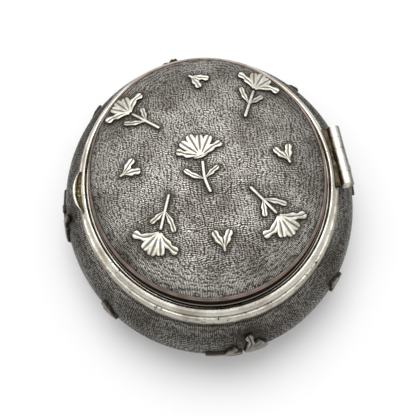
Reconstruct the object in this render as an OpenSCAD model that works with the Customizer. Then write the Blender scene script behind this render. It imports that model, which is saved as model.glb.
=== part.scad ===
// Oval pill box of silver: a cushion-sided body, a domed lid on a five-knuckle hinge along one long
// side, a crescent thumb piece opposite, and small flower sprigs applied to the lid and the body.
// Millimetres, +Z up. The origin is the middle of the underside. X runs along the oval's length and
// the hinge, +Y points to the hinge, and -Y to the thumb piece.

/* [Box] */
// Half the length of the oval at the seam under the lid's edge band
seam_r = 19.5; // [18:0.25:22]
// Width of the oval as a share of its length, at the seam
oval = 0.873; // [0.85:0.005:0.9]
// Height of that seam above the table
seam_z = 13.45; // [13.2:0.05:14]
// Rise of the lid's crown above the seam
crown_rise = 3.6; // [3.2:0.1:4.5]
// Thickness of the silver sheet
sheet = 0.6; // [0.4:0.05:0.7]

/* [Hinge] */
// Radius of the hinge barrel
barrel_r = 0.98; // [0.8:0.01:1]
// Length of the hinge barrel
barrel_len = 9.5; // [8:0.1:11]
// Distance of the hinge axis outside the seam
barrel_out = 2.66; // [2.64:0.01:2.8]
// Radius of the hinge pin
pin_r = 0.35; // [0.3:0.01:0.4]
// Running clearance round the pin
pin_clear = 0.04; // [0.02:0.01:0.08]

/* [Thumb piece] */
// Half the width of the crescent
thumb_half = 3.3; // [3:0.05:4]
// How far the crescent reaches beyond its chord
thumb_reach = 1.1; // [1:0.05:1.3]

/* [Ornament] */
// Thickness of the flowers on the lid
lid_relief = 0.32; // [0.25:0.01:0.4]
// Thickness of the flowers on the body
side_relief = 0.6; // [0.3:0.05:0.7]

/* [Hidden] */
$fn = 96;

// Heights where the lid parts from the base, and where the rim moulding meets the body
split_z = seam_z - 1.05;
shelf_z = seam_z - 3.66;
// The gap that is left between the lid and the rim
close_gap = 0.05;

// A ring keeps its distance from the seam all round, so the oval of an outer ring is a little rounder
function oval_at(r) = (seam_r * oval + r - seam_r) / r;

// Body wall: a small shoulder arc that runs into a larger flank arc, tangent where they meet
flank_r = 6;
flank_x = seam_r - 1.12;
shoulder_r = 2.75;
shoulder_x = seam_r + 1.96;
shoulder_z = shelf_z - shoulder_r;
meet = atan2(shoulder_z - flank_r, shoulder_x - flank_x);
wall = 0.7;
body_oval = oval_at(flank_x + flank_r);

// Base plate, let into the turned edge of the body shell
plate_r = seam_r - 2.3;
plate_t = 0.7;
plate_lift = 0.2;

// Inner bezel, which rises out of the base into the lid
bezel_t = 0.5;
bezel_r = seam_r - 0.75;
bezel_up = 1.35;

// Mouldings: the rim round the body's mouth and the bead round the lid's foot
rim_out = seam_r + 1.35;
rim_belly_r = 1.6;
rim_belly_x = seam_r + 0.43;
rim_oval = oval_at(rim_belly_x + rim_belly_r);
bead_x = seam_r + 0.8;
bead_r = 0.55;
bead_in = seam_r + 0.25;
bead_oval = oval_at(bead_x + bead_r);

// Lid: its shoulder arc and the crown arc that is tangent to it
edge_inner = seam_r - 0.55;
dome_r = 2.2;
dome_x = seam_r - 2.1;
dome_z = seam_z - 0.3;
dome_rise = crown_rise + 0.3;
crown_r = (dome_x * dome_x + dome_rise * dome_rise - dome_r * dome_r) / (2 * (dome_rise - dome_r));
crown_z = seam_z + crown_rise - crown_r;
crown_lean = asin(dome_x / (crown_r - dome_r));
skirt_z = seam_z + 0.7;
lid_top = seam_z + crown_rise;

// Hinge
barrel_y = seam_r * oval + barrel_out;
barrel_z = split_z;
knuckle_gap = 0.06;
knuckle_len = barrel_len / 5;
leaf_clear = 0.08;
leaf_t = 0.3;
leaf_w = 1.9;
leaf_facets = 480;

// Thumb piece: whole height, thickness of its floor and width of its lip
thumb_h = 0.85;
thumb_floor = 0.35;
thumb_lip = 0.3;

// Where the sprigs stand on the lid: foot of the bloom and the way it grows, in degrees
LID_SPRIGS = [[9.35, -7.5, -20], [9.3, 8.5, 35], [-11.25, 8.8, 156], [-10.05, -9.7, -133]];
// Where the leaf pairs stand on the lid: foot and direction
LID_PAIRS = [[13.2, 0.65, 180], [1.7, 11.6, -164], [-15.2, -0.35, 48], [0.1, -12, 116]];
// Where the sprigs stand on the body: degrees round the oval, degrees up the flank, and turn
SIDE_SPRIGS = [[4, 2, 90], [94, 2, 90], [184, 2, 90], [-87, 2, 90]];
// Where the leaf pairs stand on the body
SIDE_PAIRS = [[-45, 6, -90], [50, 6, -90], [136, 6, -90], [-130, 6, -90]];

// ---- Shared shapes ----

// Turns a profile into an oval ring, a quarter at a time
module oval_ring(share = oval) {
    for (a = [0:90:270]) scale([1, share, 1]) rotate(a) rotate_extrude(angle = 90) children();
}

// The same oval in one piece, for cutting with
module oval_cutter(share = oval) {
    scale([1, share, 1]) rotate_extrude() children();
}

// A band of the profile plane between two radii and two heights
module band(r0, r1, z0, z1) {
    translate([r0, z0]) square([r1 - r0, z1 - z0]);
}

// Section of the dome, grown outward by off
module dome_section(off) {
    top_x = (crown_r + off) * sin(crown_lean);
    intersection() {
        translate([0, crown_z]) circle(crown_r + off);
        band(0, top_x, skirt_z, lid_top + 2);
    }
    intersection() {
        translate([dome_x, dome_z]) circle(dome_r + off);
        band(top_x, seam_r + 2, skirt_z, lid_top + 2);
    }
}

// Section of the body, grown outward by off
module body_section(off) {
    turn_z = flank_r + (flank_r + off) * sin(meet);
    intersection() {
        translate([flank_x, flank_r]) circle(flank_r + off);
        band(flank_x, flank_x + flank_r * 2, -1, turn_z);
    }
    intersection() {
        translate([shoulder_x, shoulder_z]) circle(shoulder_r + off);
        band(shoulder_x, shoulder_x + flank_r, turn_z, split_z);
    }
    band(plate_r - 1, flank_x, -off, turn_z);
    band(plate_r - 1, shoulder_x, turn_z, shelf_z + off);
}

// Section of the rim moulding: an upright fillet with a rounded belly below it
module rim_section() {
    band(bezel_r - 1, rim_out, shelf_z, split_z);
    intersection() {
        translate([rim_belly_x, shelf_z + 1.16]) circle(rim_belly_r);
        band(rim_out, rim_out + rim_belly_r, shelf_z, shelf_z + 2.25);
    }
}

// Section of the half-round bead at the foot of the lid
module bead_section() {
    foot = split_z + close_gap;
    arc = [for (a = [-10:20:170]) [bead_x + bead_r * cos(a), max(foot, split_z + 0.15 + bead_r * sin(a))]];
    polygon(concat([[bead_in - 0.4, foot], [bead_x + bead_r, foot]], arc, [[bead_in - 0.4, split_z + 0.3]]));
}

// A leaf or petal: narrow at its foot, widest at "full" of its length, with a round tip
module petal(len, width, full = 0.7) {
    steps = 9;
    side = [for (i = [0:steps])
        let (t = i / steps)
        let (w = t < full ? 0.28 + 0.72 * pow(sin(90 * t / full), 2) : cos(80 * (t - full) / (1 - full)))
        [len * t, width / 2 * w]];
    polygon(concat(side, [for (i = [steps:-1:0]) [side[i][0], -side[i][1]]]));
}

// Petals fanned from one foot, each given as [angle, length, width]
module petal_fan(petals) {
    for (p = petals) rotate(p[0]) petal(p[1], p[2]);
}

// The open bloom of a sprig, growing along +X from its foot
module bloom_outline() {
    petal_fan([[-72, 3.7, 1.1], [-38, 3.1, 1.25], [-10, 3.2, 1.3], [17, 3.2, 1.25], [47, 3.6, 1.1]]);
}

// The stem of a sprig behind the foot, with a long and a short leaf
module stem_outline() {
    translate([-5.3, -0.24]) square([5.05, 0.48]);
    translate([-5.3, 0]) circle(0.27);
    translate([-2.7, 0]) rotate(38) petal(3.2, 0.85);
    translate([-2.75, 0]) rotate(-38) petal(2.35, 0.85);
}

// Two leaves that share a foot
module pair_outline() {
    petal_fan([[-23, 2.9, 1.05], [23, 2.8, 1.05]]);
}

// Cuts an upright outline to the lid's curve, as a sheet of even thickness lying on it
module on_lid() {
    intersection() {
        translate([0, 0, skirt_z + 0.2]) linear_extrude(crown_rise + 1) children();
        oval_cutter() difference() {
            dome_section(lid_relief);
            dome_section(0);
        }
    }
}

// Cuts an outline to the body's flank, given as [round the oval, up the flank, turn]
module on_side(place) {
    out = flank_x + flank_r * cos(place[1]);
    intersection() {
        translate([out * cos(place[0]), body_oval * out * sin(place[0]), flank_r + flank_r * sin(place[1])])
            rotate(atan2(sin(place[0]), body_oval * cos(place[0])))
            rotate([0, 90 - place[1], 0])
            translate([0, 0, -3]) linear_extrude(4) rotate(place[2]) mirror([0, 1]) children();
        oval_cutter(body_oval) difference() {
            body_section(side_relief);
            body_section(0);
        }
    }
}

// One length of hinge tube, counted from the end nearest +X
module knuckle(i, bore) {
    long = knuckle_len - knuckle_gap;
    translate([barrel_len / 2 - knuckle_len * (i + 0.5), barrel_y, barrel_z])
        rotate([0, 90, 0])
        difference() {
            cylinder(r = barrel_r, h = long, center = true);
            cylinder(r = bore, h = long + 1, center = true);
        }
}

// Slot in a hinge leaf that clears the knuckle of the other half
module knuckle_slot(i) {
    translate([barrel_len / 2 - knuckle_len * (i + 0.5), barrel_y, barrel_z])
        rotate([0, 90, 0])
        cylinder(r = barrel_r + leaf_clear, h = knuckle_len + knuckle_gap, center = true);
}

// The barrel's outside, which a leaf is fitted to
module barrel_hollow() {
    translate([0, barrel_y, barrel_z])
        rotate([0, 90, 0])
        cylinder(r = barrel_r, h = barrel_len + 1, center = true);
}

// ---- Base ----

module base_plate() {
    color("silver") oval_ring() band(0, plate_r, plate_lift, plate_lift + plate_t);
}

module base_shell() {
    color("dimgray") difference() {
        oval_ring(body_oval) difference() {
            body_section(0);
            body_section(-wall);
        }
        oval_ring() {
            band(0, plate_r, -1, shelf_z);
            band(0, bezel_r, wall, split_z);
        }
    }
}

module base_rim() {
    color("lightgray") difference() {
        oval_ring(rim_oval) rim_section();
        oval_ring() band(0, bezel_r, 0, lid_top);
    }
}

module inner_bezel() {
    color("goldenrod") oval_ring()
        band(bezel_r - bezel_t, bezel_r, shelf_z - wall, split_z + bezel_up);
}

module base_hinge_leaf() {
    color("gray") difference() {
        translate([-barrel_len / 2, barrel_y - leaf_w, barrel_z - close_gap - leaf_t])
            cube([barrel_len, leaf_w, leaf_t]);
        oval_cutter(rim_oval, $fn = leaf_facets) band(0, rim_out, 0, lid_top);
        barrel_hollow($fn = leaf_facets);
        for (i = [1, 3]) knuckle_slot(i, $fn = leaf_facets);
    }
}

module base_knuckles() {
    color("ivory") for (i = [0, 2, 4]) knuckle(i, pin_r);
}

module hinge_pin() {
    color("silver") translate([0, barrel_y, barrel_z]) rotate([0, 90, 0])
        cylinder(r = pin_r, h = barrel_len - knuckle_gap, center = true);
}

// ---- Lid ----

module lid_shell() {
    color("gray") oval_ring() {
        difference() {
            intersection() {
                dome_section(0);
                band(0, edge_inner, skirt_z, lid_top + 1);
            }
            dome_section(-sheet);
        }
        band(edge_inner - sheet, edge_inner, skirt_z, skirt_z + 0.3);
    }
}

module lid_edge() {
    color("rosybrown") oval_ring() polygon([
        [edge_inner, split_z + close_gap],
        [bead_in, split_z + close_gap],
        [bead_in, seam_z - 0.55],
        [seam_r + 0.12, seam_z - 0.7],
        [seam_r + 0.08, seam_z - 0.45],
        [seam_r - 0.02, seam_z - 0.38],
        [seam_r - 0.1, seam_z - 0.45],
        [seam_r - 0.15, seam_z - 0.7],
        [seam_r - 0.2, seam_z],
        [seam_r - 0.16, seam_z + 1],
        [seam_r - 0.24, seam_z + 1.25],
        [seam_r - 0.38, seam_z + 1.4],
        [edge_inner, seam_z + 1.34]
    ]);
}

module lid_bead() {
    color("whitesmoke") difference() {
        oval_ring(bead_oval) bead_section();
        oval_ring() band(0, bead_in, 0, lid_top);
    }
}

module lid_hinge_leaf() {
    color("gray") difference() {
        translate([-barrel_len / 2, barrel_y - leaf_w, barrel_z + close_gap])
            cube([barrel_len, leaf_w, leaf_t]);
        oval_cutter(bead_oval, $fn = leaf_facets) band(0, bead_x + bead_r, 0, lid_top);
        barrel_hollow($fn = leaf_facets);
        for (i = [0, 2, 4]) knuckle_slot(i, $fn = leaf_facets);
    }
}

module lid_knuckles() {
    color("ivory") for (i = [1, 3]) knuckle(i, pin_r + pin_clear);
}

module thumb_piece() {
    edge_y = (bead_x + bead_r) * bead_oval;
    sag = thumb_reach + edge_y - bead_oval * sqrt(pow(bead_x + bead_r, 2) - pow(thumb_half, 2));
    arc_r = (thumb_half * thumb_half + sag * sag) / (2 * sag);
    foot = split_z + close_gap;
    color("wheat") difference() {
        translate([0, arc_r - edge_y - thumb_reach, foot]) cylinder(r = arc_r, h = thumb_h);
        translate([-seam_r, sag - edge_y - thumb_reach, 0]) cube([2 * seam_r, seam_r, lid_top]);
        oval_ring() band(0, bead_in, 0, lid_top);
        oval_ring(bead_oval) {
            bead_section();
            band(seam_r, bead_x + bead_r + thumb_reach - thumb_lip, foot + thumb_floor, lid_top);
        }
    }
}

// ---- Ornament on the lid ----

// The cup under the middle flower
module calyx_outline() {
    translate([-0.72, -0.6]) rotate(103) translate([-1.05, 0]) petal(2.1, 0.75, 0.5);
}

module centre_bloom() {
    petals = [[72, 3.5, 1.3], [44, 3.6, 1.2], [19, 3.8, 1.25], [-3, 3.4, 1.1], [-27, 3.5, 1.2], [-56, 3.4, 1.1]];
    color("white") on_lid() difference() {
        translate([-0.75, -0.6]) rotate(180) petal_fan(petals);
        calyx_outline();
    }
}

module centre_calyx() {
    color("white") on_lid() calyx_outline();
}

module centre_stem() {
    color("white") on_lid() {
        translate([0.05, -0.5]) square([2.6, 0.45]);
        translate([2.6, -0.27]) rotate(8) translate([-0.1, -0.25]) square([2.2, 0.5]);
        translate([2.7, -0.4]) rotate(-124) petal(3.2, 0.9);
        translate([2.6, -0.3]) rotate(127) petal(2.3, 0.85);
    }
}

module lid_bloom(i) {
    color("white") on_lid() translate([LID_SPRIGS[i][0], LID_SPRIGS[i][1]]) rotate(LID_SPRIGS[i][2])
        bloom_outline();
}

module lid_stem(i) {
    color("white") on_lid() translate([LID_SPRIGS[i][0], LID_SPRIGS[i][1]]) rotate(LID_SPRIGS[i][2])
        stem_outline();
}

module lid_leaves(i) {
    color("white") on_lid() translate([LID_PAIRS[i][0], LID_PAIRS[i][1]]) rotate(LID_PAIRS[i][2])
        pair_outline();
}

// ---- Ornament on the body ----

module side_bloom(i) {
    color("lightgray") on_side(SIDE_SPRIGS[i]) bloom_outline();
}

module side_stem(i) {
    color("lightgray") on_side(SIDE_SPRIGS[i]) stem_outline();
}

module side_leaves(i) {
    color("lightgray") on_side(SIDE_PAIRS[i]) pair_outline();
}

base_plate();
base_shell();
base_rim();
inner_bezel();
base_hinge_leaf();
base_knuckles();
hinge_pin();
lid_shell();
lid_edge();
lid_bead();
lid_hinge_leaf();
lid_knuckles();
thumb_piece();
centre_bloom();
centre_calyx();
centre_stem();
lid_bloom(0);  // lid_bloom_1
lid_bloom(1);  // lid_bloom_2
lid_bloom(2);  // lid_bloom_3
lid_bloom(3);  // lid_bloom_4
lid_stem(0);  // lid_stem_1
lid_stem(1);  // lid_stem_2
lid_stem(2);  // lid_stem_3
lid_stem(3);  // lid_stem_4
lid_leaves(0);  // lid_leaves_1
lid_leaves(1);  // lid_leaves_2
lid_leaves(2);  // lid_leaves_3
lid_leaves(3);  // lid_leaves_4
side_bloom(0);  // side_bloom_1
side_bloom(1);  // side_bloom_2
side_bloom(2);  // side_bloom_3
side_bloom(3);  // side_bloom_4
side_stem(0);  // side_stem_1
side_stem(1);  // side_stem_2
side_stem(2);  // side_stem_3
side_stem(3);  // side_stem_4
side_leaves(0);  // side_leaves_1
side_leaves(1);  // side_leaves_2
side_leaves(2);  // side_leaves_3
side_leaves(3);  // side_leaves_4
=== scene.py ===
"""An oval silver pill box with chased ground, applied flower sprigs, a barrel hinge and a thumb piece.

Metres, +Z up. X runs along the oval's length and the hinge, +Y points to the hinge, -Y to the thumb piece.
"""
import math

import bpy
from mathutils import Matrix, Vector, kdtree


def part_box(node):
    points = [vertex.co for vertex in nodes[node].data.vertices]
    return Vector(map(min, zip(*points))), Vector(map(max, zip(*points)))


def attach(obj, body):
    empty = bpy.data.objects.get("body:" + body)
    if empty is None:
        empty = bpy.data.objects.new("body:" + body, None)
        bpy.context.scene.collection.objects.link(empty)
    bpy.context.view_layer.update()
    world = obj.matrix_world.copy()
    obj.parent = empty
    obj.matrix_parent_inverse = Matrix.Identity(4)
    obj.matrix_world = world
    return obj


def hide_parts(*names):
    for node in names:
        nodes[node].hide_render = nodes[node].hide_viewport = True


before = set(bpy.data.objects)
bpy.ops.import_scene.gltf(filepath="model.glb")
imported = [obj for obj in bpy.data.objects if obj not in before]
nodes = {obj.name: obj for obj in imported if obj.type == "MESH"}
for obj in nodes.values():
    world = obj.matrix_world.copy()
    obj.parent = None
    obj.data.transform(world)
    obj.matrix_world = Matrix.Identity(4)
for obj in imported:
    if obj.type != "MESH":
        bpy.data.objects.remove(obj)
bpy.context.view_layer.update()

MM = 0.001

# ---- Shape of the box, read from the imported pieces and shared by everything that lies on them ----

lid_low, lid_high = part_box("lid_shell")
OVAL = lid_high.y / lid_high.x
EDGE_R = lid_high.x
EDGE_INSET = 0.55 * MM
SEAM_R = EDGE_R + EDGE_INSET
LID_TOP = lid_high.z
SKIRT_Z = lid_low.z
CROWN_RISE = 3.6 * MM
SEAM_Z = LID_TOP - CROWN_RISE
SHEET = 0.6 * MM
# Height of the strip turned in at the dome's foot
FOLD = 0.3 * MM

# The dome is a wide crown arc that runs into a small shoulder arc
DOME_R = 2.2 * MM
DOME_X = SEAM_R - 2.1 * MM
DOME_Z = SEAM_Z - 0.3 * MM
DOME_RISE = LID_TOP - DOME_Z
CROWN_R = (DOME_X ** 2 + DOME_RISE ** 2 - DOME_R ** 2) / (2 * (DOME_RISE - DOME_R))
CROWN_Z = LID_TOP - CROWN_R
CROWN_LEAN = math.asin(DOME_X / (CROWN_R - DOME_R))

# The body's wall is a large flank arc under a small shoulder arc
FLANK_R = 6 * MM
FLANK_X = SEAM_R - 1.12 * MM
SHOULDER_R = 2.75 * MM
SHOULDER_X = SEAM_R + 1.96 * MM
SHELF_Z = SEAM_Z - 3.66 * MM
SHOULDER_Z = SHELF_Z - SHOULDER_R
MEET = math.atan2(SHOULDER_Z - FLANK_R, SHOULDER_X - FLANK_X)
WALL = 0.7 * MM
FOOT_R = SEAM_R - 2.3 * MM
BEZEL_R = SEAM_R - 0.75 * MM

# The widest ring of the body keeps its distance from the seam, so its oval is a little rounder
BODY_OUT = FLANK_X + FLANK_R
BODY_OVAL = (SEAM_R * OVAL + BODY_OUT - SEAM_R) / BODY_OUT

# The bead round the lid's foot, the hinge barrel, and the crescent that stands out from the bead
BEAD_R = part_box("lid_bead")[1].x
BEAD_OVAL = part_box("lid_bead")[1].y / BEAD_R
pin_low, pin_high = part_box("hinge_pin")
barrel_low, barrel_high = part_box("base_knuckles")
BARREL_Y = (pin_low.y + pin_high.y) / 2
BARREL_R = (barrel_high.y - barrel_low.y) / 2
thumb_low, thumb_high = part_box("thumb_piece")

# Thickness of the ornament
LID_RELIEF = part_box("centre_bloom")[1].z - LID_TOP
SIDE_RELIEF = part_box("side_bloom_1")[1].x - BODY_OUT
# Ornament stands a little under that thickness, and is let a little into the ground
STAND = 0.98
SET_IN = 0.05


# ---- Bench tools ----

def clear_bench():
    """Nothing selected, so that the next tool acts only on what is made next."""
    bpy.ops.object.select_all(action="DESELECT")


def pick(piece, wanted):
    """In edit mode, selects the points whose place passes the test."""
    bpy.ops.object.mode_set(mode="OBJECT")
    for point in piece.data.vertices:
        point.select = wanted(point.co)
    for edge in piece.data.edges:
        edge.select = all(piece.data.vertices[i].select for i in edge.vertices)
    for face in piece.data.polygons:
        face.select = all(piece.data.vertices[i].select for i in face.vertices)
    bpy.ops.object.mode_set(mode="EDIT")


def use(piece, kind, name, **settings):
    """Adds a modifier and applies it."""
    tool = piece.modifiers.new(name, kind)
    for setting, value in settings.items():
        setattr(tool, setting, value)
    bpy.context.view_layer.objects.active = piece
    bpy.ops.object.modifier_apply(modifier=tool.name)


def soldered(name, parts):
    """Joins parts into one piece."""
    clear_bench()
    for part in parts:
        part.select_set(True)
    bpy.context.view_layer.objects.active = parts[0]
    if len(parts) > 1:
        bpy.ops.object.join()
    piece = bpy.context.object
    piece.name = name
    piece.data.name = name
    return piece


def cast_again(pattern, name):
    """A copy of a piece with its own mesh."""
    piece = pattern.copy()
    piece.data = pattern.data.copy()
    piece.name = name
    piece.data.name = name
    bpy.context.scene.collection.objects.link(piece)
    return piece


def finish_piece(piece, body, finish, slot, *stands_for):
    """Gives a piece its finish, the body it moves with and the nodes it stands for."""
    piece.data.materials.clear()
    piece.data.materials.append(finish)
    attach(piece, body)
    if stands_for:
        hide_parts(*stands_for)


# ---- Turned shells ----

def arc(centre_x, centre_z, radius, first, last, steps):
    """Points along an arc of a profile, from one angle to another, both included."""
    angles = [first + (last - first) * i / steps for i in range(steps + 1)]
    return [(centre_x + radius * math.cos(a), centre_z + radius * math.sin(a)) for a in angles]


def turned(name, profile, oval=OVAL, steps=288):
    """Spins a closed profile of (radius, height) round the middle, then draws the circle out to the oval."""
    clear_bench()
    bpy.ops.mesh.primitive_plane_add(size=MM, location=(profile[0][0], 0, profile[0][1]))
    piece = bpy.context.object
    bpy.ops.object.transform_apply(location=True)
    bpy.ops.object.mode_set(mode="EDIT")
    bpy.ops.mesh.select_all(action="SELECT")
    bpy.ops.mesh.merge(type="CENTER")
    for here, there in zip(profile, profile[1:]):
        step = (there[0] - here[0], 0, there[1] - here[1])
        bpy.ops.mesh.extrude_region_move(TRANSFORM_OT_translate={"value": step})
    bpy.ops.mesh.select_all(action="SELECT")
    bpy.ops.mesh.spin(steps=steps, angle=2 * math.pi, center=(0, 0, 0), axis=(0, 0, 1))
    bpy.ops.mesh.select_all(action="SELECT")
    bpy.ops.mesh.remove_doubles(threshold=0.002 * MM)
    bpy.ops.transform.resize(value=(1, oval, 1), center_override=(0, 0, 0))
    bpy.ops.mesh.normals_make_consistent(inside=False)
    bpy.ops.object.mode_set(mode="OBJECT")
    bpy.ops.object.shade_smooth_by_angle(angle=math.radians(35))
    piece.name = name
    piece.data.name = name
    return piece


def lid_dome():
    """The domed lid sheet, ground side up, with its turned-down edge."""
    upright = math.pi / 2
    edge_lean = math.acos((EDGE_R - DOME_X) / DOME_R)
    inner_lean = math.asin((SKIRT_Z + FOLD - DOME_Z) / (DOME_R - SHEET))
    outside = arc(0, CROWN_Z, CROWN_R, upright, upright - CROWN_LEAN, 84)
    outside += arc(DOME_X, DOME_Z, DOME_R, upright - CROWN_LEAN, edge_lean, 12)[1:]
    inside = arc(DOME_X, DOME_Z, DOME_R - SHEET, inner_lean, upright - CROWN_LEAN, 6)
    inside += arc(0, CROWN_Z, CROWN_R - SHEET, upright - CROWN_LEAN, upright, 16)[1:]
    lip = EDGE_R - SHEET
    foot = [(EDGE_R, SKIRT_Z), (lip, SKIRT_Z), (lip, SKIRT_Z + FOLD)]
    return turned("lid_dome", outside + foot + inside, steps=384)


def body_wall():
    """The cushion-sided wall of the body, turned in at the foot and at the mouth."""
    upright = math.pi / 2
    low = math.asin((WALL - FLANK_R) / (FLANK_R - WALL))
    outside = [(FOOT_R, 0)] + arc(FLANK_X, FLANK_R, FLANK_R, -upright, MEET, 40)
    outside += arc(SHOULDER_X, SHOULDER_Z, SHOULDER_R, MEET, upright, 16)[1:]
    outside += [(BEZEL_R, SHELF_Z), (BEZEL_R, SHELF_Z - WALL)]
    inside = arc(SHOULDER_X, SHOULDER_Z, SHOULDER_R - WALL, upright, MEET, 8)
    inside += arc(FLANK_X, FLANK_R, FLANK_R - WALL, MEET, low, 16)[1:]
    inside += [(FOOT_R, WALL), (FOOT_R, 0)]
    wall = turned("body_wall", outside + inside, BODY_OVAL)

    near = 0.01 * MM

    def at_joint(co):
        """Whether a point is on the edge of the mouth or of the foot."""
        radius = math.hypot(co.x, co.y / BODY_OVAL)
        at_mouth = abs(radius - BEZEL_R) < near and co.z > FLANK_R
        return at_mouth or abs(radius - FOOT_R) < near

    # The mouth and the foot fit rings of the seam's own oval
    pick(wall, at_joint)
    bpy.ops.transform.resize(value=(1, OVAL / BODY_OVAL, 1), center_override=(0, 0, 0))
    bpy.ops.object.mode_set(mode="OBJECT")
    return wall


# ---- Ornament, modelled flat and then laid on the metal ----

# How high a veined petal and a plain stem stand across their width, from one edge to the other
VEINED = [0.30, 0.92, 1.0, 0.98, 0.52, 0.98, 1.0, 0.92, 0.30]
ROUND = [0.25, 0.72, 0.94, 1.0, 0.94, 0.72, 0.25]
# The thumb piece across its width, from its rim to the bead
DISH = [0.66, 1.0, 1.0, 0.98, 0.62, 0.44, 0.4, 0.4, 0.42, 0.46]


def blade(rows, section, curl=0.0):
    """A petal, leaf or stem along +X.

    Each row is its distance from the foot, its shift to the left and half its width.
    """
    clear_bench()
    bpy.ops.mesh.primitive_grid_add(x_subdivisions=1, y_subdivisions=len(section) - 1, size=2)
    piece = bpy.context.object
    bpy.ops.object.mode_set(mode="EDIT")
    for column, height in enumerate(section):
        across = -1 + 2 * column / (len(section) - 1)
        pick(piece, lambda co: abs(co.y - across) < 0.01)
        bpy.ops.transform.translate(value=(0, 0, height))
    first, second = rows[0], rows[1]
    for edge, row in ((-1, first), (1, second)):
        pick(piece, lambda co: abs(co.x - edge) < 0.01)
        bpy.ops.transform.resize(value=(1, row[2], 1), center_override=(0, 0, 0))
        bpy.ops.transform.translate(value=(row[0] - edge, row[1], 0))
    for here, there in zip(rows[1:], rows[2:]):
        bpy.ops.mesh.extrude_region_move(TRANSFORM_OT_translate={"value": (there[0] - here[0], 0, 0)})
        bpy.ops.transform.resize(value=(1, there[2] / here[2], 1), center_override=(0, here[1], 0))
        bpy.ops.transform.translate(value=(0, there[1] - here[1], 0))
    bpy.ops.mesh.select_all(action="SELECT")
    bpy.ops.mesh.extrude_region_move(TRANSFORM_OT_translate={"value": (0, 0, 0)})
    bpy.ops.transform.resize(value=(1, 1, 0), center_override=(0, 0, 0))
    bpy.ops.mesh.select_all(action="SELECT")
    bpy.ops.mesh.normals_make_consistent(inside=False)
    bpy.ops.object.mode_set(mode="OBJECT")
    if curl:
        use(piece, "SIMPLE_DEFORM", "curl", deform_method="BEND", deform_axis="Z", angle=curl)
    use(piece, "SUBSURF", "round", levels=2, render_levels=2)
    bpy.ops.object.shade_smooth()
    return piece


def set_at(piece, foot, turn):
    """Turns a part about its foot, moves the foot to its place and fixes it there."""
    clear_bench()
    piece.select_set(True)
    bpy.context.view_layer.objects.active = piece
    piece.rotation_euler = (0, 0, math.radians(turn))
    piece.location = (foot[0], foot[1], 0)
    bpy.ops.object.transform_apply(location=True, rotation=True, scale=True)
    return piece


def leaf(length, width, curl=0.0):
    """A leaf with a narrow stalk, a notch on each edge and a knob at its tip."""
    rows = [(0, 0, 0.15), (0.2, 0, 0.17), (0.38, 0, 0.4), (0.52, 0.03, 0.54), (0.61, 0.05, 0.33),
            (0.71, 0.02, 0.4), (0.86, 0, 0.48), (0.96, 0, 0.34), (1.0, 0, 0.18)]
    return blade([(x * length, y * width, half * width) for x, y, half in rows], VEINED, curl)


def knob_petal(length, width, curl=0.0):
    """An outer petal that widens, narrows at a notch and ends in a round knob."""
    rows = [(0, 0, 0.16), (0.25, 0, 0.3), (0.45, 0.02, 0.5), (0.58, 0.06, 0.54), (0.66, 0.02, 0.3),
            (0.75, -0.05, 0.36), (0.87, -0.1, 0.56), (0.95, -0.1, 0.48), (1.0, -0.1, 0.24)]
    return blade([(x * length, y * width, half * width) for x, y, half in rows], VEINED, curl)


def fan_petal(length, width, curl=0.0):
    """An inner petal that widens to a scalloped end."""
    rows = [(0, 0, 0.16), (0.3, 0, 0.4), (0.6, 0, 0.58), (0.82, 0, 0.62), (0.94, 0, 0.54), (1.0, 0, 0.34)]
    return blade([(x * length, y * width, half * width) for x, y, half in rows], VEINED, curl)


def sprig_bloom():
    """The bloom of a sprig, growing along +X from its foot: two curled outer petals and a fan of three."""
    parts = [
        set_at(knob_petal(3.9, 1.35, math.radians(-62)), (0, 0), -46),
        set_at(knob_petal(3.8, 1.35, math.radians(58)), (0, 0), 26),
        set_at(fan_petal(3.15, 1.3), (0, 0), -34),
        set_at(fan_petal(3.35, 1.35), (0, 0), -10),
        set_at(fan_petal(3.2, 1.25), (0, 0), 14),
    ]
    return soldered("sprig_bloom", parts)


def sprig_stem():
    """The stem of a sprig with its long and short leaf, running back along -X from the bloom's foot."""
    rows = [(-0.25, 0, 0.3), (-0.6, 0, 0.33), (-2.7, 0, 0.32), (-4.6, 0, 0.32), (-5.2, 0, 0.38),
            (-5.42, 0, 0.24)]
    parts = [
        blade(rows, ROUND),
        set_at(leaf(3.3, 1.05, math.radians(-16)), (-2.95, 0), 44),
        set_at(leaf(2.45, 1.05, math.radians(12)), (-2.9, 0), -44),
    ]
    return soldered("sprig_stem", parts)


def leaf_pair():
    """Two lobed leaves that share a short stalk."""
    stalk = [(-0.15, 0, 0.24), (0, 0, 0.32), (0.5, 0, 0.3), (0.95, 0, 0.24)]
    parts = [
        blade(stalk, ROUND),
        set_at(leaf(2.6, 1.4), (0.4, 0.03), 25),
        set_at(leaf(2.5, 1.4), (0.4, -0.03), -25),
    ]
    return soldered("leaf_pair", parts)


def middle_bloom():
    """The six-petalled flower in the middle of the lid."""
    petals = [(knob_petal, 72, 3.5, 1.35), (fan_petal, 44, 3.6, 1.3), (fan_petal, 19, 3.8, 1.3),
              (fan_petal, -4, 3.4, 1.2), (fan_petal, -28, 3.5, 1.3), (knob_petal, -58, 3.6, 1.3)]
    foot = (-0.75, -0.6)
    parts = [set_at(make(length, width), foot, 180 + turn) for make, turn, length, width in petals]
    return soldered("middle_bloom", parts)


def middle_calyx():
    """The lens-shaped cup under the middle flower."""
    rows = [(-1.08, 0, 0.08), (-0.7, 0, 0.26), (-0.2, 0, 0.38), (0.3, 0, 0.38), (0.75, 0, 0.24),
            (1.1, 0, 0.08)]
    part = blade(rows, VEINED)
    return soldered("middle_calyx", [set_at(part, (-0.72, -0.6), 103)])


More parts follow.
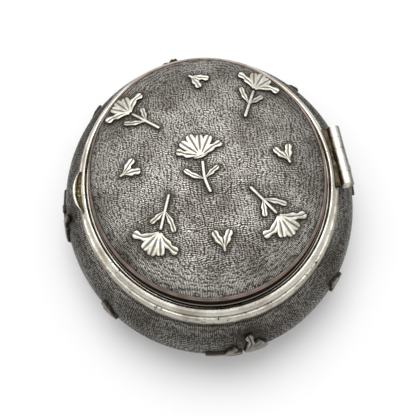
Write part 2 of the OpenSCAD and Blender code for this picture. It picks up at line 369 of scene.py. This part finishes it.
def middle_stem():
    """The stem of the middle flower with its two leaves."""
    upper = [(0, 0, 0.36), (0.4, 0, 0.35), (1.4, -0.05, 0.33), (2.4, -0.1, 0.33), (3.3, 0.03, 0.34),
             (4.3, 0.3, 0.36), (4.75, 0.42, 0.35), (4.9, 0.45, 0.22)]
    parts = [
        set_at(blade(upper, ROUND), (0.05, -0.45), 0),
        set_at(leaf(3.3, 1.0, math.radians(-26)), (2.9, -0.45), -112),
        set_at(leaf(2.5, 1.0), (2.7, -0.4), 127),
    ]
    return soldered("middle_stem", parts)


def thumb_crescent():
    """The crescent thumb piece: a rounded rim round a shallow hollow, its inner edge against the bead."""
    half = thumb_high.x / MM
    reach = -thumb_low.y / MM
    chord = BEAD_OVAL * math.sqrt((BEAD_R / MM) ** 2 - half ** 2)
    sag = reach - chord
    radius = (half ** 2 + sag ** 2) / (2 * sag)
    steps, tuck, tip = 14, 0.12, 0.05
    rows = []
    for i in range(steps + 1):
        x = -half * math.cos(math.pi * i / steps)
        outer = radius - reach - math.sqrt(radius ** 2 - x ** 2)
        inner = -BEAD_OVAL * math.sqrt((BEAD_R / MM - tuck) ** 2 - x ** 2)
        rows.append((x, (outer + inner) / 2, max(tip, (inner - outer) / 2)))
    return soldered("thumb_crescent", [blade(rows, DISH)])


def mark_relief(piece):
    """Keeps each point's height over the ground, from 0 to 1, where the finish can read it."""
    mark = piece.data.attributes.new("relief", "FLOAT", "POINT")
    for value, point in zip(mark.data, piece.data.vertices):
        value.value = point.co.z


def lay_on_lid(piece, foot, turn):
    """Lays a flat ornament, in millimetres, on the dome."""
    cos, sin = math.cos(math.radians(turn)), math.sin(math.radians(turn))
    for point in piece.data.vertices:
        x = (foot[0] + point.co.x * cos - point.co.y * sin) * MM
        y = (foot[1] + point.co.x * sin + point.co.y * cos) * MM
        ground = CROWN_Z + math.sqrt(CROWN_R ** 2 - x * x - (y / OVAL) ** 2)
        point.co = (x, y, ground + (point.co.z * STAND - SET_IN) * LID_RELIEF)


def set_on_bead(piece):
    """Brings the flat crescent, in millimetres, up to its place beside the bead."""
    height = thumb_high.z - thumb_low.z
    for point in piece.data.vertices:
        point.co = (point.co.x * MM, point.co.y * MM, thumb_low.z + point.co.z * height)


def lay_on_flank(piece, round_oval, up_flank, turn):
    """Lays a flat ornament, in millimetres, on the side of the body."""
    cos, sin = math.cos(math.radians(turn)), math.sin(math.radians(turn))
    for point in piece.data.vertices:
        across = (point.co.x * cos + point.co.y * sin) * MM
        along = (point.co.x * sin - point.co.y * cos) * MM
        lean = math.radians(up_flank) - across / FLANK_R
        middle = math.radians(round_oval)
        stretch = math.hypot(BODY_OUT * math.sin(middle), BODY_OUT * BODY_OVAL * math.cos(middle))
        angle = middle + along / stretch
        out = FLANK_X + FLANK_R * math.cos(lean)
        ground = Vector((out * math.cos(angle), out * BODY_OVAL * math.sin(angle),
                         FLANK_R + FLANK_R * math.sin(lean)))
        facing = Vector((math.cos(lean) * math.cos(angle) * BODY_OVAL, math.cos(lean) * math.sin(angle),
                         math.sin(lean) * BODY_OVAL)).normalized()
        point.co = ground + facing * (point.co.z * STAND - SET_IN) * SIDE_RELIEF


# ---- Finishes ----

# The ground's strokes: phase per millimetre across and along a stroke, and phase per radian round the edge
FINE_RATE = 25.0
LONG_RATE = 14.0
STROKES_ROUND = 470
# How far the rows, the rings and the rays wander
ROW_DRIFT = 30.0
RING_DRIFT = 24.0
RAY_DRIFT = 14.0


def put(tree, kind, inputs=None, **settings):
    """Adds a shader node. An input is either a value or another node's output."""
    made = tree.nodes.new("ShaderNode" + kind)
    for name, value in settings.items():
        setattr(made, name, value)
    for name, value in (inputs or {}).items():
        if isinstance(value, bpy.types.NodeSocket):
            tree.links.new(value, made.inputs[name])
        else:
            made.inputs[name].default_value = value
    return made


def sums(tree, operation, *values):
    """A Math node and its result."""
    return put(tree, "Math", dict(enumerate(values)), operation=operation).outputs[0]


def ease(tree, value, start, end, low=0.0, high=1.0):
    """Carries a value smoothly from one range to another."""
    inputs = {"Value": value, "From Min": start, "From Max": end, "To Min": low, "To Max": high}
    return put(tree, "MapRange", inputs, interpolation_type="SMOOTHSTEP").outputs["Result"]


def noise(tree, vector, scale, detail=2.0, roughness=0.5):
    """Cloudy noise about 0.5, with scale clouds to a millimetre."""
    inputs = {"Vector": vector, "Scale": scale, "Detail": detail, "Roughness": roughness}
    return put(tree, "TexNoise", inputs).outputs["Fac"]


def blend_colours(tree, share, first, second):
    """The first colour where share is 0 and the second where it is 1."""
    return put(tree, "MixRGB", {"Fac": share, "Color1": first, "Color2": second}).outputs["Color"]


def darker(colour, share):
    """A colour with only a share of its light."""
    return [part * share for part in colour[:3]] + [1]


def group(name, inputs, outputs):
    """An empty node group with named sockets, and its two end nodes."""
    tree = bpy.data.node_groups.new(name, "ShaderNodeTree")
    for label, value in inputs.items():
        tree.interface.new_socket(label, in_out="INPUT", socket_type="NodeSocketFloat").default_value = value
    for label in outputs:
        tree.interface.new_socket(label, in_out="OUTPUT", socket_type="NodeSocketFloat")
    return tree, tree.nodes.new("NodeGroupInput").outputs, tree.nodes.new("NodeGroupOutput").inputs


def in_millimetres(tree):
    """The place on the box, in millimetres."""
    place = put(tree, "TexCoord").outputs["Object"]
    return put(tree, "VectorMath", {0: place, "Scale": 1 / MM}, operation="SCALE").outputs["Vector"]


def chased_ground():
    """Rows of tiny punched strokes: wandering over the middle, and pointing to the edge further out."""
    inputs = {"Oval": OVAL, "Radial From": 14.0, "Radial To": 18.0, "Order": 0.5}
    tree, given, result = group("chased_ground", inputs, ["Height", "Stroke"])
    place = in_millimetres(tree)
    split = put(tree, "SeparateXYZ", {"Vector": place}).outputs
    round_y = sums(tree, "DIVIDE", split["Y"], given["Oval"])
    radius = sums(tree, "SQRT", sums(tree, "ADD", sums(tree, "MULTIPLY", split["X"], split["X"]),
                                     sums(tree, "MULTIPLY", round_y, round_y)))
    angle = sums(tree, "ARCTAN2", round_y, split["X"])
    sway = put(tree, "TexNoise", {"Vector": place, "Scale": 0.42, "Detail": 3.0}).outputs["Color"]
    sway = put(tree, "SeparateXYZ", {"Vector": sway}).outputs
    rows = sums(tree, "MULTIPLY_ADD", sway["X"], ROW_DRIFT, sums(tree, "MULTIPLY", split["X"], FINE_RATE))
    along = sums(tree, "MULTIPLY_ADD", sway["Y"], ROW_DRIFT, sums(tree, "MULTIPLY", split["Y"], LONG_RATE))
    rings = sums(tree, "MULTIPLY_ADD", sway["X"], RING_DRIFT, sums(tree, "MULTIPLY", radius, LONG_RATE))
    rings = sums(tree, "MULTIPLY_ADD", split["Z"], LONG_RATE, rings)
    rays = sums(tree, "MULTIPLY_ADD", sway["Y"], RAY_DRIFT, sums(tree, "MULTIPLY", angle, STROKES_ROUND))
    share = ease(tree, radius, given["Radial From"], given["Radial To"])
    fine = put(tree, "Mix", {"Factor": share, "A": sums(tree, "SINE", rows), "B": sums(tree, "SINE", rays)})
    long = put(tree, "Mix", {"Factor": share, "A": sums(tree, "SINE", along), "B": sums(tree, "SINE", rings)})
    gap = sums(tree, "MULTIPLY_ADD", long.outputs["Result"], 0.35, 0.65)
    mark = sums(tree, "MULTIPLY", fine.outputs["Result"], gap)
    mark = sums(tree, "MULTIPLY_ADD", long.outputs["Result"], 0.3, mark)
    speck = noise(tree, place, 4.6, 2.0, 0.6)
    height = sums(tree, "MULTIPLY_ADD", sums(tree, "MULTIPLY", mark, given["Order"]), 0.3, speck)
    tree.links.new(height, result["Height"])
    tree.links.new(ease(tree, height, 0.42, 0.66), result["Stroke"])
    return tree


def tarnish():
    """Cloudy darkening and sharp dark pits."""
    inputs = {"Cloud Size": 4.0, "Pit Size": 0.5, "Pits": 0.3}
    tree, given, result = group("tarnish", inputs, ["Cloud", "Pit"])
    place = in_millimetres(tree)
    cloud = noise(tree, place, sums(tree, "DIVIDE", 1.0, given["Cloud Size"]), 4.0, 0.6)
    tree.links.new(ease(tree, cloud, 0.38, 0.66), result["Cloud"])
    speck = noise(tree, place, sums(tree, "DIVIDE", 1.0, given["Pit Size"]), 3.0, 0.65)
    edge = sums(tree, "SUBTRACT", 0.78, sums(tree, "MULTIPLY", given["Pits"], 0.3))
    tree.links.new(ease(tree, speck, edge, sums(tree, "ADD", edge, 0.05)), result["Pit"])
    return tree


GROUND = chased_ground()
TARNISH = tarnish()


def finish(name):
    """A new material's tree and its metal shader."""
    material = bpy.data.materials.new(name)
    material.use_nodes = True
    tree = material.node_tree
    shader = tree.nodes["Principled BSDF"]
    shader.inputs["Metallic"].default_value = 1.0
    return material, tree, shader


def use_group(tree, group_tree, **inputs):
    """Sets a shared group into a material, with its inputs given by name."""
    made = tree.nodes.new("ShaderNodeGroup")
    made.node_tree = group_tree
    for name, value in inputs.items():
        made.inputs[name.replace("_", " ")].default_value = value
    return made.outputs


def raise_surface(tree, shader, height, distance, strength):
    """Lets a height show in the light. Distance is in millimetres."""
    bump = put(tree, "Bump", {"Height": height, "Distance": distance * MM, "Strength": strength})
    tree.links.new(bump.outputs["Normal"], shader.inputs["Normal"])


def textured_silver(name, oval, radial_from, radial_to, order, low, high):
    """Oxidised silver with bright strokes on a dark ground, darker round the ornament for tarnish and painted
    shade.
    """
    material, tree, shader = finish(name)
    ground = use_group(tree, GROUND, Oval=oval, Radial_From=radial_from, Radial_To=radial_to, Order=order)
    dirt = use_group(tree, TARNISH, Cloud_Size=7.0, Pit_Size=0.6, Pits=0.1)
    shade_and_tarnish = put(tree, "Attribute", attribute_name="shade_and_tarnish").outputs["Fac"]
    dark = blend_colours(tree, dirt["Cloud"], (0.060, 0.055, 0.048, 1), (0.036, 0.030, 0.025, 1))
    rubbed = (high, high * 0.96, high * 0.88, 1)
    dulled = (low, low * 0.93, low * 0.83, 1)
    bright = blend_colours(tree, dirt["Cloud"], rubbed, dulled)
    colour = blend_colours(tree, ground["Stroke"], dark, bright)
    # Painted shade and tarnish: the ground darkens next to the ornament
    colour = blend_colours(tree, sums(tree, "MULTIPLY", shade_and_tarnish, 0.85), colour, (0.035, 0.030, 0.024, 1))
    tree.links.new(colour, shader.inputs["Base Color"])
    rough = put(tree, "Mix", {"Factor": ground["Stroke"], "A": 0.62, "B": 0.34}).outputs["Result"]
    tree.links.new(rough, shader.inputs["Roughness"])
    raise_surface(tree, shader, ground["Height"], 0.05, 0.8)
    return material


def flower_silver(name, bright, dull):
    """Polished relief, with black left in the veins and along the foot."""
    material, tree, shader = finish(name)
    relief = put(tree, "Attribute", attribute_name="relief").outputs["Fac"]
    dirt = use_group(tree, TARNISH, Cloud_Size=1.6, Pit_Size=0.35, Pits=0.25)
    rubbed = ease(tree, relief, 0.62, 0.90)
    shade = blend_colours(tree, dirt["Cloud"], bright, dull)
    colour = blend_colours(tree, rubbed, (0.05, 0.045, 0.035, 1), shade)
    colour = blend_colours(tree, sums(tree, "MULTIPLY", dirt["Pit"], 0.6), colour, (0.1, 0.09, 0.07, 1))
    tree.links.new(colour, shader.inputs["Base Color"])
    tree.links.new(put(tree, "Mix", {"Factor": rubbed, "A": 0.6, "B": 0.36}).outputs["Result"],
                   shader.inputs["Roughness"])
    raise_surface(tree, shader, noise(tree, in_millimetres(tree), 3.0), 0.03, 0.5)
    return material


def polished(name, bright, dull, roughness=0.25, pits=0.3, cloud_size=4.0, pit_size=0.45):
    """Plain polished metal with cloudy tarnish and small black pits."""
    material, tree, shader = finish(name)
    dirt = use_group(tree, TARNISH, Cloud_Size=cloud_size, Pit_Size=pit_size, Pits=pits)
    colour = blend_colours(tree, dirt["Cloud"], bright, dull)
    colour = blend_colours(tree, dirt["Pit"], colour, (0.03, 0.025, 0.02, 1))
    tree.links.new(colour, shader.inputs["Base Color"])
    smear = noise(tree, in_millimetres(tree), 0.7, 4.0, 0.6)
    tree.links.new(ease(tree, smear, 0.3, 0.7, roughness * 0.8, roughness * 1.35), shader.inputs["Roughness"])
    depth = sums(tree, "MULTIPLY", dirt["Pit"], 0.6)
    height = sums(tree, "SUBTRACT", noise(tree, in_millimetres(tree), 1.6, 3.0), depth)
    raise_surface(tree, shader, height, 0.04, 0.4)
    return material


def edge_silver(name, band, ring, black):
    """A rosy band along the top, black below it for tarnish and painted shade in the groove, and a lighter
    ring low in the black groove.
    """
    material, tree, shader = finish(name)
    height = put(tree, "SeparateXYZ", {"Vector": in_millimetres(tree)}).outputs["Z"]
    dirt = use_group(tree, TARNISH, Cloud_Size=2.5, Pit_Size=0.5, Pits=0.3)
    height = sums(tree, "MULTIPLY_ADD", dirt["Cloud"], 0.06, height)
    seam = SEAM_Z / MM
    on_band = ease(tree, height, seam + 0.92, seam + 1.05)
    on_ring = sums(tree, "MULTIPLY", ease(tree, height, seam - 0.5, seam - 0.42),
                   ease(tree, height, seam - 0.28, seam - 0.36))
    rosy = blend_colours(tree, dirt["Cloud"], band, darker(band, 0.6))
    # Below the rosy band the black stands for tarnish and painted shade in the groove
    colour = blend_colours(tree, sums(tree, "MULTIPLY", on_ring, 0.8), black, ring)
    colour = blend_colours(tree, on_band, colour, rosy)
    colour = blend_colours(tree, dirt["Pit"], colour, black)
    tree.links.new(colour, shader.inputs["Base Color"])
    tree.links.new(ease(tree, on_band, 0.0, 1.0, 0.55, 0.32), shader.inputs["Roughness"])
    raise_surface(tree, shader, noise(tree, in_millimetres(tree), 1.6, 3.0), 0.04, 0.4)
    return material


def thumb_gilt(name, bright, dull, brown):
    """A rubbed rim over a rough brown hollow."""
    material, tree, shader = finish(name)
    relief = put(tree, "Attribute", attribute_name="relief").outputs["Fac"]
    dirt = use_group(tree, TARNISH, Cloud_Size=1.2, Pit_Size=0.3, Pits=0.5)
    rubbed = ease(tree, sums(tree, "MULTIPLY_ADD", dirt["Cloud"], -0.08, relief), 0.60, 0.80)
    hollow = blend_colours(tree, dirt["Cloud"], brown, darker(brown, 0.45))
    hollow = blend_colours(tree, dirt["Pit"], hollow, dull)
    colour = blend_colours(tree, rubbed, hollow, blend_colours(tree, dirt["Cloud"], bright, dull))
    tree.links.new(colour, shader.inputs["Base Color"])
    tree.links.new(ease(tree, rubbed, 0.0, 1.0, 0.55, 0.34), shader.inputs["Roughness"])
    raise_surface(tree, shader, noise(tree, in_millimetres(tree), 2.4, 3.0), 0.05, 0.6)
    return material


def hinge_silver(name, bright, dull, shade_grey, brown):
    """A rubbed barrel with painted shade: greyer on its outer side and brown where it faces the lid."""
    material, tree, shader = finish(name)
    place = in_millimetres(tree)
    across = put(tree, "SeparateXYZ", {"Vector": place}).outputs["Y"]
    dirt = use_group(tree, TARNISH, Cloud_Size=2.0, Pit_Size=0.35, Pits=0.2)
    across = sums(tree, "MULTIPLY_ADD", dirt["Cloud"], 0.12, across)
    axis, reach = BARREL_Y / MM, BARREL_R / MM
    colour = blend_colours(tree, dirt["Cloud"], bright, dull)
    # Painted shade: grey over the barrel's outer side and brown on the side that faces the lid
    colour = blend_colours(tree, ease(tree, across, axis + 0.25 * reach, axis + 0.65 * reach), colour, shade_grey)
    colour = blend_colours(tree, ease(tree, across, axis - 0.45 * reach, axis - 0.75 * reach), colour, brown)
    colour = blend_colours(tree, sums(tree, "MULTIPLY", dirt["Pit"], 0.7), colour, brown)
    tree.links.new(colour, shader.inputs["Base Color"])
    smear = noise(tree, place, 0.9, 4.0, 0.6)
    tree.links.new(ease(tree, smear, 0.3, 0.7, 0.28, 0.42), shader.inputs["Roughness"])
    raise_surface(tree, shader, noise(tree, place, 1.8, 3.0), 0.04, 0.5)
    return material


def dress(finish_made, *names):
    """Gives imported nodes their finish."""
    for name in names:
        mesh = nodes[name].data
        mesh.materials.clear()
        mesh.materials.append(finish_made)


# ---- The box ----

LID_GROUND = textured_silver("textured_silver_lid", OVAL, 13.5, 17.5, 0.75, 0.24, 0.52)
# Painted shade: the body's ground is a darker copy of the lid's, for its sides
SHADED_BODY_GROUND = textured_silver("textured_silver_shaded_body", BODY_OVAL, 24.5, 22.3, 0.6, 0.12, 0.24)
LID_FLOWERS = flower_silver("flower_silver", (0.78, 0.76, 0.68, 1), (0.50, 0.47, 0.40, 1))
# Painted shade: the flowers on the body's sides are a darker copy of the lid's flower finish
SHADED_SIDE_FLOWERS = flower_silver("flower_silver_shaded_side", (0.27, 0.25, 0.22, 1), (0.13, 0.115, 0.10, 1))
MOULDING = polished("moulding_silver", (0.50, 0.48, 0.42, 1), (0.24, 0.21, 0.165, 1), 0.34, 0.6)
BEAD = polished("bead_silver", (0.62, 0.60, 0.53, 1), (0.38, 0.34, 0.29, 1), 0.30, 0.4)
EDGE = edge_silver("edge_silver", (0.25, 0.19, 0.16, 1), (0.34, 0.29, 0.24, 1), (0.016, 0.013, 0.011, 1))
HINGE = hinge_silver("hinge_silver", (0.84, 0.81, 0.72, 1), (0.70, 0.66, 0.55, 1), (0.20, 0.20, 0.19, 1),
                     (0.07, 0.052, 0.032, 1))
SOLDER = polished("solder_brown", (0.10, 0.078, 0.05, 1), (0.035, 0.028, 0.018, 1), 0.45, 0.5, 1.2)
GILT = polished("gilt", (0.85, 0.66, 0.34, 1), (0.66, 0.48, 0.22, 1), 0.3, 0.2)
PLAIN = polished("plain_silver", (0.66, 0.64, 0.58, 1), (0.40, 0.37, 0.32, 1), 0.35, 0.3, 6.0)
THUMB = thumb_gilt("thumb_gilt", (0.86, 0.82, 0.70, 1), (0.62, 0.56, 0.42, 1), (0.13, 0.10, 0.055, 1))

dress(MOULDING, "base_rim")
dress(BEAD, "lid_bead")
dress(EDGE, "lid_edge")
dress(HINGE, "base_knuckles", "lid_knuckles", "hinge_pin")
dress(SOLDER, "base_hinge_leaf", "lid_hinge_leaf")
dress(GILT, "inner_bezel")
dress(PLAIN, "base_plate")

# Foot of each sprig on the lid and the way it grows; foot and direction of each pair of leaves
LID_SPRIGS = [(9.35, -7.5, -20), (9.3, 8.5, 35), (-11.25, 8.8, 156), (-10.05, -9.7, -133)]
LID_PAIRS = [(13.2, 0.65, 180), (1.7, 11.6, -164), (-15.2, -0.35, 48), (0.1, -12, 116)]
# The same on the body: degrees round the oval, degrees up the flank, and turn
SIDE_SPRIGS = [(4, 2, 90), (94, 2, 90), (184, 2, 90), (-87, 2, 90)]
SIDE_PAIRS = [(-45, 6, -90), (50, 6, -90), (136, 6, -90), (-130, 6, -90)]


def flowers_on_lid():
    """The middle flower, four sprigs and four pairs of leaves."""
    makers = {"centre_bloom": middle_bloom, "centre_calyx": middle_calyx, "centre_stem": middle_stem}
    laid = []
    for node, make in makers.items():
        piece = make()
        mark_relief(piece)
        lay_on_lid(piece, (0, 0), 0)
        finish_piece(piece, "lid", LID_FLOWERS, "flower_silver", node)
        laid.append(piece)
    return laid


def castings(patterns):
    """Four castings from each pattern on the lid and four on the body."""
    on_lid, on_body = [], []
    for kind, pattern in patterns.items():
        places = (LID_PAIRS, SIDE_PAIRS) if kind == "leaves" else (LID_SPRIGS, SIDE_SPRIGS)
        for i, (x, y, turn) in enumerate(places[0], 1):
            piece = cast_again(pattern, f"lid_sprig_{kind}_{i}")
            lay_on_lid(piece, (x, y), turn)
            finish_piece(piece, "lid", LID_FLOWERS, "flower_silver", f"lid_{kind}_{i}")
            on_lid.append(piece)
        for i, place in enumerate(places[1], 1):
            piece = cast_again(pattern, f"side_sprig_{kind}_{i}")
            lay_on_flank(piece, *place)
            finish_piece(piece, "base", SHADED_SIDE_FLOWERS, "flower_silver", f"side_{kind}_{i}")
            on_body.append(piece)
        bpy.data.objects.remove(pattern)
    return on_lid, on_body


def mark_shade_and_tarnish(shell, ornaments, reach):
    """Marks how near each point of a shell is to the ornament, for the tarnish and painted shade that darken
    the ground there.
    """
    count = sum(len(piece.data.vertices) for piece in ornaments)
    tree = kdtree.KDTree(count)
    for piece in ornaments:
        for point in piece.data.vertices:
            tree.insert(point.co, 0)
    tree.balance()
    mark = shell.data.attributes.new("shade_and_tarnish", "FLOAT", "POINT")
    for value, point in zip(mark.data, shell.data.vertices):
        value.value = math.exp(-(tree.find(point.co)[2] / reach) ** 2)


middle = flowers_on_lid()
patterns = {"bloom": sprig_bloom(), "stem": sprig_stem(), "leaves": leaf_pair()}
for pattern in patterns.values():
    mark_relief(pattern)
lid_ornaments, body_ornaments = castings(patterns)

crescent = thumb_crescent()
mark_relief(crescent)
set_on_bead(crescent)
finish_piece(crescent, "lid", THUMB, "thumb_gilt", "thumb_piece")

dome = lid_dome()
mark_shade_and_tarnish(dome, middle + lid_ornaments, 0.5 * MM)
finish_piece(dome, "lid", LID_GROUND, "textured_silver", "lid_shell")

wall = body_wall()
mark_shade_and_tarnish(wall, body_ornaments, 0.8 * MM)
finish_piece(wall, "base", SHADED_BODY_GROUND, "textured_silver", "base_shell")


# ---- Studio ----

# Where the camera is, in millimetres, its azimuth, elevation and roll in degrees, and its lens
CAMERA_PLACE = (40.212, -3.107, 91.551)
CAMERA_TURN = (85.853, 66.04, 4.471)
CAMERA_LENS = 52.83


def studio_floor():
    """Plain pale paper under the box."""
    clear_bench()
    bpy.ops.mesh.primitive_grid_add(x_subdivisions=2, y_subdivisions=2, size=3)
    floor = bpy.context.object
    floor.name = "floor"
    material = bpy.data.materials.new("pale_paper")
    material.use_nodes = True
    shader = material.node_tree.nodes["Principled BSDF"]
    shader.inputs["Base Color"].default_value = (0.9, 0.9, 0.9, 1)
    shader.inputs["Roughness"].default_value = 0.9
    floor.data.materials.append(material)


def soft_light(name, place, size, power):
    """A large soft lamp that faces the box."""
    lamp = bpy.data.lights.new(name, "AREA")
    lamp.shape = "DISK"
    lamp.size = size
    lamp.energy = power
    light = bpy.data.objects.new(name, lamp)
    bpy.context.scene.collection.objects.link(light)
    light.location = place
    light.rotation_euler = (Vector((0, 0, 0.01)) - Vector(place)).to_track_quat("-Z", "Y").to_euler()


def studio_air(strength):
    """Even white light from all round."""
    world = bpy.data.worlds.new("studio")
    world.use_nodes = True
    world.node_tree.nodes["Background"].inputs["Color"].default_value = (1, 1, 1, 1)
    world.node_tree.nodes["Background"].inputs["Strength"].default_value = strength
    bpy.context.scene.world = world


def camera():
    """Above the near end of the box, turned a little about its own line of sight."""
    azimuth, elevation, roll = (math.radians(angle) for angle in CAMERA_TURN)
    back = Vector((math.sin(azimuth) * math.cos(elevation), -math.cos(azimuth) * math.cos(elevation),
                   math.sin(elevation)))
    right = back.cross(Vector((0, 0, -1))).normalized()
    up = right.cross(-back)
    side = right * math.cos(roll) - up * math.sin(roll)
    top = up * math.cos(roll) + right * math.sin(roll)
    lens = bpy.data.cameras.new("camera")
    lens.sensor_width = 36
    lens.lens = CAMERA_LENS
    lens.clip_start = 0.005
    seen = bpy.data.objects.new("camera", lens)
    bpy.context.scene.collection.objects.link(seen)
    turn = Matrix((side, top, back)).transposed()
    seen.matrix_world = Matrix.Translation([part * MM for part in CAMERA_PLACE]) @ turn.to_4x4()
    bpy.context.scene.camera = seen


bpy.context.scene.view_settings.view_transform = "Standard"
studio_floor()
studio_air(0.84)
soft_light("over", (-0.15, -0.01, 0.42), 0.36, 0.90)
camera()
